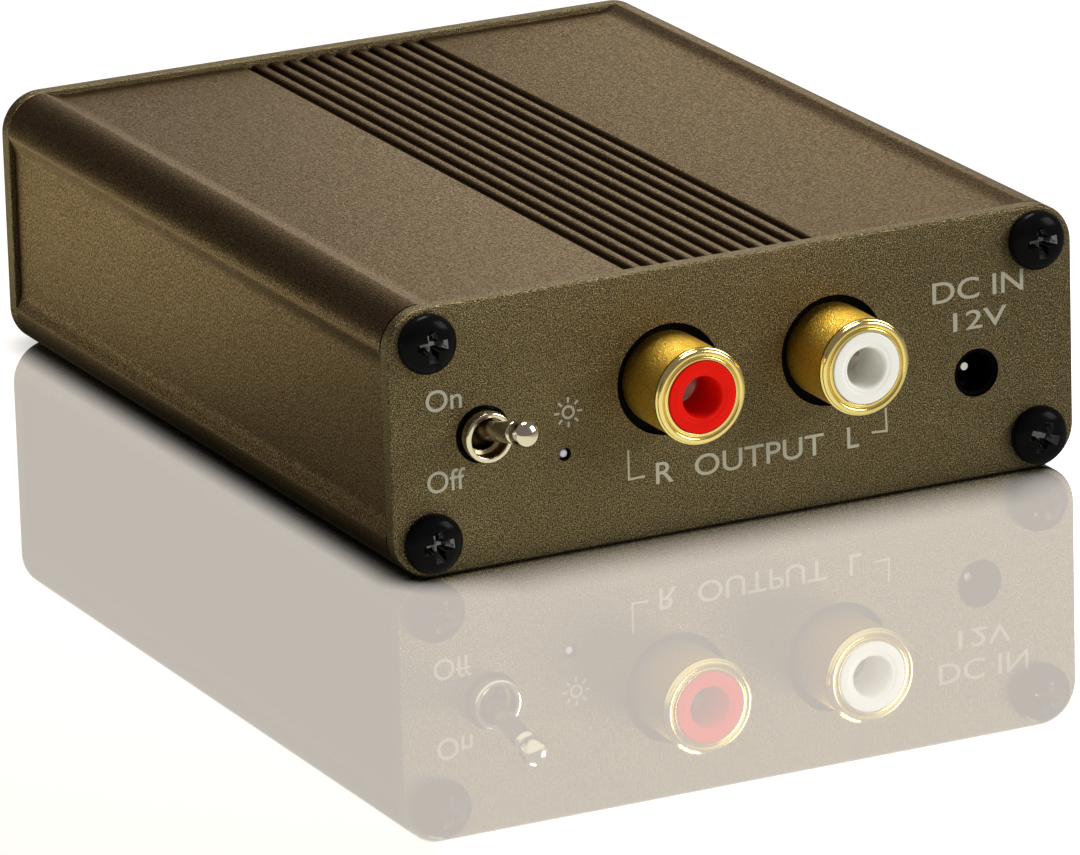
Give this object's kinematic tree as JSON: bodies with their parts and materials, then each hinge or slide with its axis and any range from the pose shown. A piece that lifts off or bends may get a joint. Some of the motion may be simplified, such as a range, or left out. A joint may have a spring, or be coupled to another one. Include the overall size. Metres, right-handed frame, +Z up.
{
  "type": "phono preamp",
  "caption": "Flat extruded metal case with a ribbed top band and screwed end plates, carrying a toggle switch, phono sockets, a power inlet and a ground terminal.",
  "frame": {"origin": "middle of the base, halfway between the side faces and between the outer faces of the end plates", "axes": "+X to the right along the front plate, +Y from the front plate to the rear plate, +Z up"},
  "size_m": [0.066, 0.0982, 0.0239],
  "materials": {
    "bronze_anodised": "bronze anodised, fine satin grain",
    "bronze_plate": "bronze anodised, bead blasted",
    "black_screw": "gloss black",
    "gold_shell": "gold plated, satin with a polished lip",
    "contact_nickel": "nickel plated",
    "red_insulator": "semi-gloss",
    "white_insulator": "semi-gloss",
    "black_moulding": "matt",
    "switch_moulding": "matt",
    "nickel_plate": "bright nickel",
    "spring_steel": "plain",
    "contact_silver": "silver plated",
    "tinned_brass": "tinned",
    "clear_guide": "clear",
    "clear_lamp": "water clear",
    "board_green": "solder resist",
    "chip_moulding": "matt",
    "capacitor_sleeve": "shrink sleeve",
    "film_capacitor": "epoxy",
    "ceramic_capacitor": "ceramic"
  },
  "bodies": {
    "chassis": {"chip_capacitors": "ceramic_capacitor", "chip_resistors": "chip_moulding", "circuit_board": "board_green", "coupling_capacitors": "capacitor_sleeve", "dc_jack_body": "black_moulding", "dc_jack_pin": "contact_nickel", "dc_jack_spring": "contact_nickel", "equalisation_capacitors": "film_capacitor", "front_plate": "bronze_plate", "front_screws": "black_screw", "ground_lock_nut": "nickel_plate", "ground_lug": "tinned_brass", "ground_stud": "nickel_plate", "housing": "bronze_anodised", "input_left_block": "black_moulding", "input_left_contact": "contact_nickel", "input_left_insulator": "white_insulator", "input_left_shell": "gold_shell", "input_right_block": "black_moulding", "input_right_contact": "contact_nickel", "input_right_insulator": "red_insulator", "input_right_shell": "gold_shell", "led": "clear_lamp", "light_guide": "clear_guide", "op_amps": "chip_moulding", "output_left_block": "black_moulding", "output_left_contact": "contact_nickel", "output_left_insulator": "white_insulator", "output_left_shell": "gold_shell", "output_right_block": "black_moulding", "output_right_contact": "contact_nickel", "output_right_insulator": "red_insulator", "output_right_shell": "gold_shell", "protection_diode": "chip_moulding", "rear_plate": "bronze_plate", "rear_screws": "black_screw", "reservoir_capacitors": "capacitor_sleeve", "switch_bushing": "nickel_plate", "switch_case": "switch_moulding", "switch_frame": "spring_steel", "switch_pivot_pin": "spring_steel", "switch_terminals": "contact_silver", "voltage_regulator": "chip_moulding"},
    "switch_lever": {"switch_lever": "nickel_plate"},
    "switch_plunger": {"switch_plunger": "black_moulding"},
    "switch_rocker": {"switch_rocker": "contact_silver"},
    "ground_washer": {"ground_washer": "nickel_plate"},
    "ground_thumb_nut": {"ground_thumb_nut": "nickel_plate"}
  },
  "joints": [
    {"name": "lever_toggle", "type": "hinge", "parent": "chassis", "child": "switch_lever", "pos_m": [-0.0243, -0.03945, 0.01195], "axis": [1, 0, 0], "range_deg": [0, 26]},
    {"name": "plunger_slide", "type": "slide", "parent": "switch_lever", "child": "switch_plunger", "axis": [0, -0.9744, 0.225], "range_m": [0, 0.0003], "stiffness_N_per_m": 50, "springref_m": -0.0003},
    {"name": "rocker_tilt", "type": "hinge", "parent": "chassis", "child": "switch_rocker", "pos_m": [-0.0243, -0.03435, 0.01195], "axis": [1, 0, 0], "range_deg": [-20, 0]},
    {"name": "ground_nut_travel", "type": "slide", "parent": "chassis", "child": "ground_washer", "axis": [0, 1, 0], "range_m": [0, 0.00245]},
    {"name": "ground_nut_turn", "type": "hinge", "parent": "ground_washer", "child": "ground_thumb_nut", "pos_m": [-0.022, 0.04515, 0.01195], "axis": [0, 1, 0], "range_deg": [0, 1260]}
  ],
  "couplings": [
    {"joint": "rocker_tilt", "follows": "lever_toggle", "ratio": -0.76923},
    {"joint": "ground_nut_turn", "follows": "ground_nut_travel", "rad_per_m": 8976}
  ]
}
